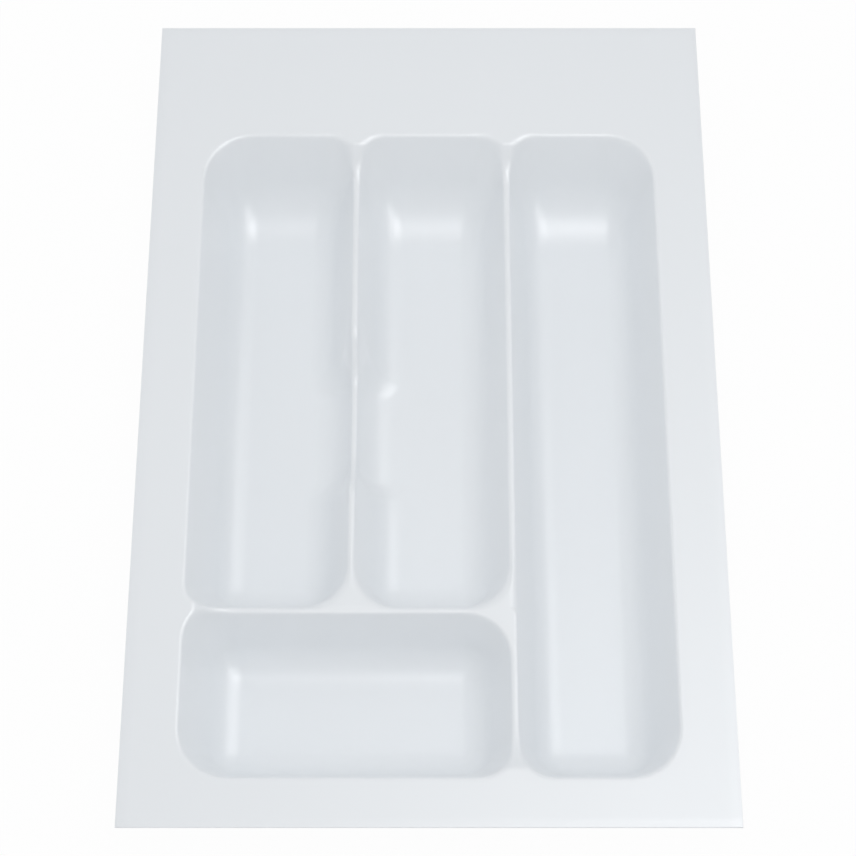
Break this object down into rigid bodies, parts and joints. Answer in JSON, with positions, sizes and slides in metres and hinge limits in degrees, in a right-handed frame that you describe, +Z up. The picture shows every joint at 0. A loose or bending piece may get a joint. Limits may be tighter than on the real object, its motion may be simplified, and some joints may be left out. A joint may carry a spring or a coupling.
{
  "type": "cutlery tray",
  "caption": "Vacuum formed white plastic drawer insert with a wide flat trim rim, long cutlery wells, a crosswise front well and a finger dip in one divider.",
  "frame": {"origin": "centre of the plan, at the surface that the floors stand on", "axes": "+X to the right, +Y to the back along the long wells, +Z up out of the wells"},
  "size_m": [0.362, 0.54, 0.06],
  "materials": {
    "white_plastic": "satin"
  },
  "bodies": {
    "root": {"tray": "white_plastic"}
  },
  "joints": []
}
